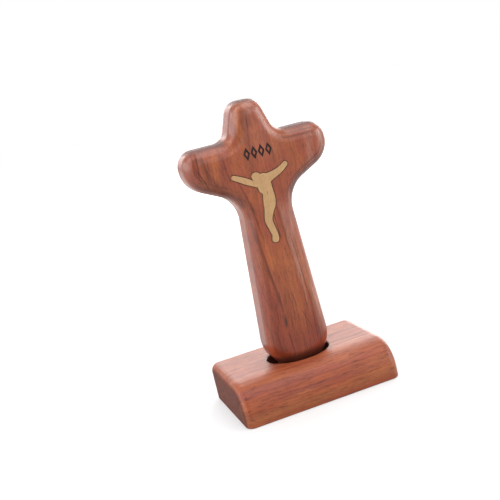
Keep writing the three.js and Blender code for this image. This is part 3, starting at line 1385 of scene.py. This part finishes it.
CROSS_VEINS = (
    *lay(
        RED,
        (-11.4, 50, 40, -0.045, 1.5, 3, 3.4, 0.4),
        (-6.6, 40, 12, -0.1, 1.5, 3.4, 1.6, 0.4),
        (1.4, 68, 12, -0.05, 1.5, 1.6, 1.8, 0.4),
    ),
    *lay(
        ORANGE,
        (-5.6, 66, 12, -0.1, 1.5, 1.6, 1.4, 0.55),
        (-3.4, 58, 7, -0.12, 1, 0.8, 0.8, 0.6),
    ),
    *lay(
        TAN,
        (1.8, 50, 20, -0.02, 2, 3.2, 3, 0.55),
        (1.6, 30, 12, -0.02, 2, 3.2, 3.4, 0.4),
        (9.2, 62, 26, -0.05, 2, 1.8, 2.2, 0.4),
    ),
    *lay(
        ORANGE,
        (-11, 107, 10, 0, 3, 2.6, 2.4, 0.55),
        (-6.2, 115, 9, 0.1, 1, 1.4, 1.8, 0.5),
        (-19, 104.5, 8, 0.1, 1, 2.6, 2.6, 0.65),
        (4.6, 119, 8, -0.2, 1, 1, 1, 0.5),
    ),
    *lay(
        PALE,
        (5, 66, 22, -0.06, 1.5, 1.8, 2.8, 0.75),
        (10.4, 34, 18, -0.02, 1, 2.2, 3, 0.95),
        (7.7, 78, 13, 0.16, 1, 1.3, 1.6, 0.55),
        (27.5, 104, 10, 0.1, 1, 3, 4, 0.6),
        (2, 116, 16, 0, 2, 11, 11, 0.2),
    ),
    *lay(AMBER, (-1, 46, 26, -0.03, 2, 8, 9, 0.4)),
    *lay(RED, (5.2, 84, 12, 0.06, 1, 1.2, 1.2, 0.15)),
    *lay(PALE, (11.6, 56, 20, -0.05, 1, 1.4, 2.5, 0.5)),
    *lay(
        None,
        (-9.1, 89.2, 9, -0.3, 0.3, 0.9, 0.4, 0.7),
        (-7.1, 78, 10.5, -0.12, 0.3, 0.8, 0.4, 0.6),
    ),
    *lay(TAN, (0.4, 75, 6, -0.06, 0, 0.6, 0.5, 0.45)),
    *lay(SEAM, (0.75, 75.2, 8, -0.064, 0, 0.55, 0.4, 0.9)),
    *lay(
        PALE,
        (6.2, 45, 14, -0.03, 0.8, 0.7, 0.8, 0.5),
        (22, 103, 11, 0.1, 1.5, 3, 2.6, 0.5),
    ),
    *lay(DEEP, (-7.1, 60, 28, -0.11, 1.2, 1.8, 0.35, 0.68)),
    *lay(UMBER, (-6, 50, 12, -0.13, 0.6, 1, 0.6, 0.7)),
    # Painted highlight on the round at the top of the top lobe.
    *lay(PALE, (0, 124.6, 3.4, 0, 0, 5, 5, 0.3)),
    *lay(
        None,
        (-10.2, 60, 14, -0.09, 1, 0.4, 0.3, 0.5),
        (-11.7, 56, 14, -0.07, 1, 0.35, 0.3, 0.45),
        (-9, 55, 9, -0.1, 1, 0.3, 0.3, 0.4),
        (-13, 62, 20, -0.06, 1, 0.35, 0.3, 0.35),
        (6.6, 56, 18, -0.09, 1, 0.4, 0.3, 0.65),
        (7.7, 34, 15, 0.04, 1.2, 0.5, 0.35, 0.8),
        (9.6, 44, 22, -0.02, 1.5, 0.4, 0.3, 0.45),
        (4.4, 33, 6, -0.35, 0.6, 0.35, 0.3, 0.5),
        (5.2, 30, 5, -0.3, 0.6, 0.35, 0.3, 0.45),
        (-0.9, 43, 4, -0.15, 0.6, 0.4, 0.3, 0.6),
        (0.9, 42.6, 4, -0.15, 0.6, 0.4, 0.3, 0.55),
        (3.2, 71, 13, -0.08, 2, 0.8, 0.4, 0.45),
        (8.9, 72, 18, -0.06, 1.5, 0.5, 0.4, 0.32),
        (-2.6, 115, 9, 0.12, 0.8, 0.7, 0.35, 0.7),
        (-1.6, 120.5, 5, 0, 1, 2.4, 2.4, 0.45),
        (1.2, 121, 4.5, 0, 1, 0.8, 0.6, 0.4),
    ),
    *lay(KNOT, (-4.9, 34.4, 1.9, 0, 0, 0.8, 0.7, 1)),
    *lay(HALO, (-5.1, 34.4, 3.6, 0, 0, 1.6, 1.4, 0.5)),
    *lay(
        None,
        (-4.4, 25, 6, -0.1, 1, 0.7, 0.45, 0.65),
        (-9.6, 27, 7, -0.1, 1, 0.7, 0.45, 0.55),
        (-11.9, 31, 6, -0.1, 1, 0.6, 0.4, 0.5),
        (1.4, 24, 5, 0, 1, 0.8, 0.5, 0.45),
        (-27.5, 107.5, 6, 0.08, 0.5, 0.6, 0.35, 0.65),
        (-26.5, 101.8, 5.5, -0.45, 0.5, 0.6, 0.35, 0.65),
        (-26, 107, 6, 0.08, 0.5, 0.65, 0.35, 1),
        (-25, 100.9, 5.5, -0.42, 0.5, 0.65, 0.35, 1),
        (-23.2, 105, 8, -0.1, 0.6, 2.6, 0.8, 0.62),
        (-21.6, 101, 6, -0.4, 0.6, 1.4, 0.6, 0.5),
        (-14.9, 102.5, 8, -0.12, 0.8, 1.1, 0.4, 0.5),
    ),
    *lay(
        None,
        (-8.78, 99, 26, 0, 0.4, 0.28, 0.26, 0.58, 6, 60),
        (-7.75, 99, 26, 0, 0.6, 0.4, 0.35, 0.65, 8, 60),
        sheet=Sheet.LEVEL,
    ),
    # Painted shade along the front round of the stem's right edge and under the right arm.
    *lay(SHADE, (-7.2, 87, 17, 0, 0.8, 2.4, 1.5, 0.92, 8, 60), sheet=Sheet.LEVEL),
    *lay(
        None,
        (-8.8, 97, 10, 0, 0.5, 0.3, 0.26, 0.4, -60, -14),
        # Painted shade along the front round under the left arm.
        (-7, 92, 11, 0, 1, 2.4, 2, 0.65, -60, -8),
        (-6, 100, 40, 0, 2, 0.6, 0.3, 0.35),
        (-3.6, 80, 120, 0, 2, 0.9, 0.3, 0.3),
        sheet=Sheet.LEVEL,
    ),
)

STAND_VEINS = (
    *lay(ROSE, (13.2, 0, 90, 0, 2, 2.6, 2.2, 0.4, -100, -9)),
    *lay(FAWN, (4.2, 0, 90, 0, 2.5, 3.6, 2.6, 0.5, -100, -9)),
    *lay(WINE, (9.4, -6, 34, 0.02, 1.5, 2, 0.6, 0.7, -100, -9)),
    *lay(
        None,
        (10.8, -16, 22, 0.01, 1.5, 0.8, 0.35, 0.45, -100, -9),
        (7.2, -10, 30, 0, 1.5, 0.6, 0.35, 0.4, -100, -9),
    ),
    *lay(
        None,
        (-6.6, 0, 90, 0.02, 3, 0.8, 0.4, 0.35, 14, 100),
        (8, -12, 30, -0.03, 3, 0.6, 0.4, 0.35, 14, 100),
        sheet=Sheet.LEVEL,
    ),
)


def main() -> None:
    """Builds the finishes, the pieces and the studio."""
    logging.basicConfig(level=logging.INFO, format="%(message)s")
    bpy.context.scene.view_settings.view_transform = "Standard"
    groups = {"solid_wood": growth_group(), "vein": vein_group()}
    cross_wood = WoodFinish(
        name="cross_wood",
        body=(158, 76, 48),
        warm=(172, 91, 50),
        dark=(112, 49, 33),
        late=(80, 32, 22),
        pore=(76, 33, 24),
        level=0.6,
        ring_strength=0.35,
        ring_tone=0.2,
        streaks=0.36,
        pores=0.46,
        dashes=0.4,
        fibre=0.28,
        veins=CROSS_VEINS,
    ).build(groups, foot_painted_shade)
    inlay_wood = WoodFinish(
        name="inlay_wood",
        body=(194, 153, 108),
        warm=(198, 158, 110),
        dark=(172, 130, 90),
        late=(160, 118, 80),
        pore=(140, 104, 70),
        ring_strength=0.12,
        ring_tone=0.1,
        streaks=0.25,
        pores=0.2,
        dashes=0.15,
        fibre=0.06,
        ripple=0.03,
        roughness=0.45,
        veins=lay(SPECK, (-0.3, 89.4, 0.6, 0, 0, 0.32, 0.32, 0.8)),
    ).build(groups)
    stand_wood = WoodFinish(
        name="stand_wood",
        body=(163, 81, 46),
        warm=(176, 98, 58),
        dark=(124, 56, 44),
        late=(94, 40, 30),
        pore=(86, 40, 30),
        grain=Grain.ALONG,
        pith=(80.0, 40.0),
        ring_spacing=2.4,
        ring_strength=0.35,
        roughness=0.38,
        streaks=0.4,
        pores=0.55,
        dashes=0.35,
        flecks=0.1,
        veins=STAND_VEINS,
    ).build(groups, socket_painted_shade)
    inlay = CorpusInlay()
    cross = CrossBody()
    cross.build(inlay, cross_wood)
    inlay.build(cross.low.y, inlay_wood)
    Stand().build(stand_wood)
    Studio().build()
    View().build()


if __name__ == "__main__":
    main()
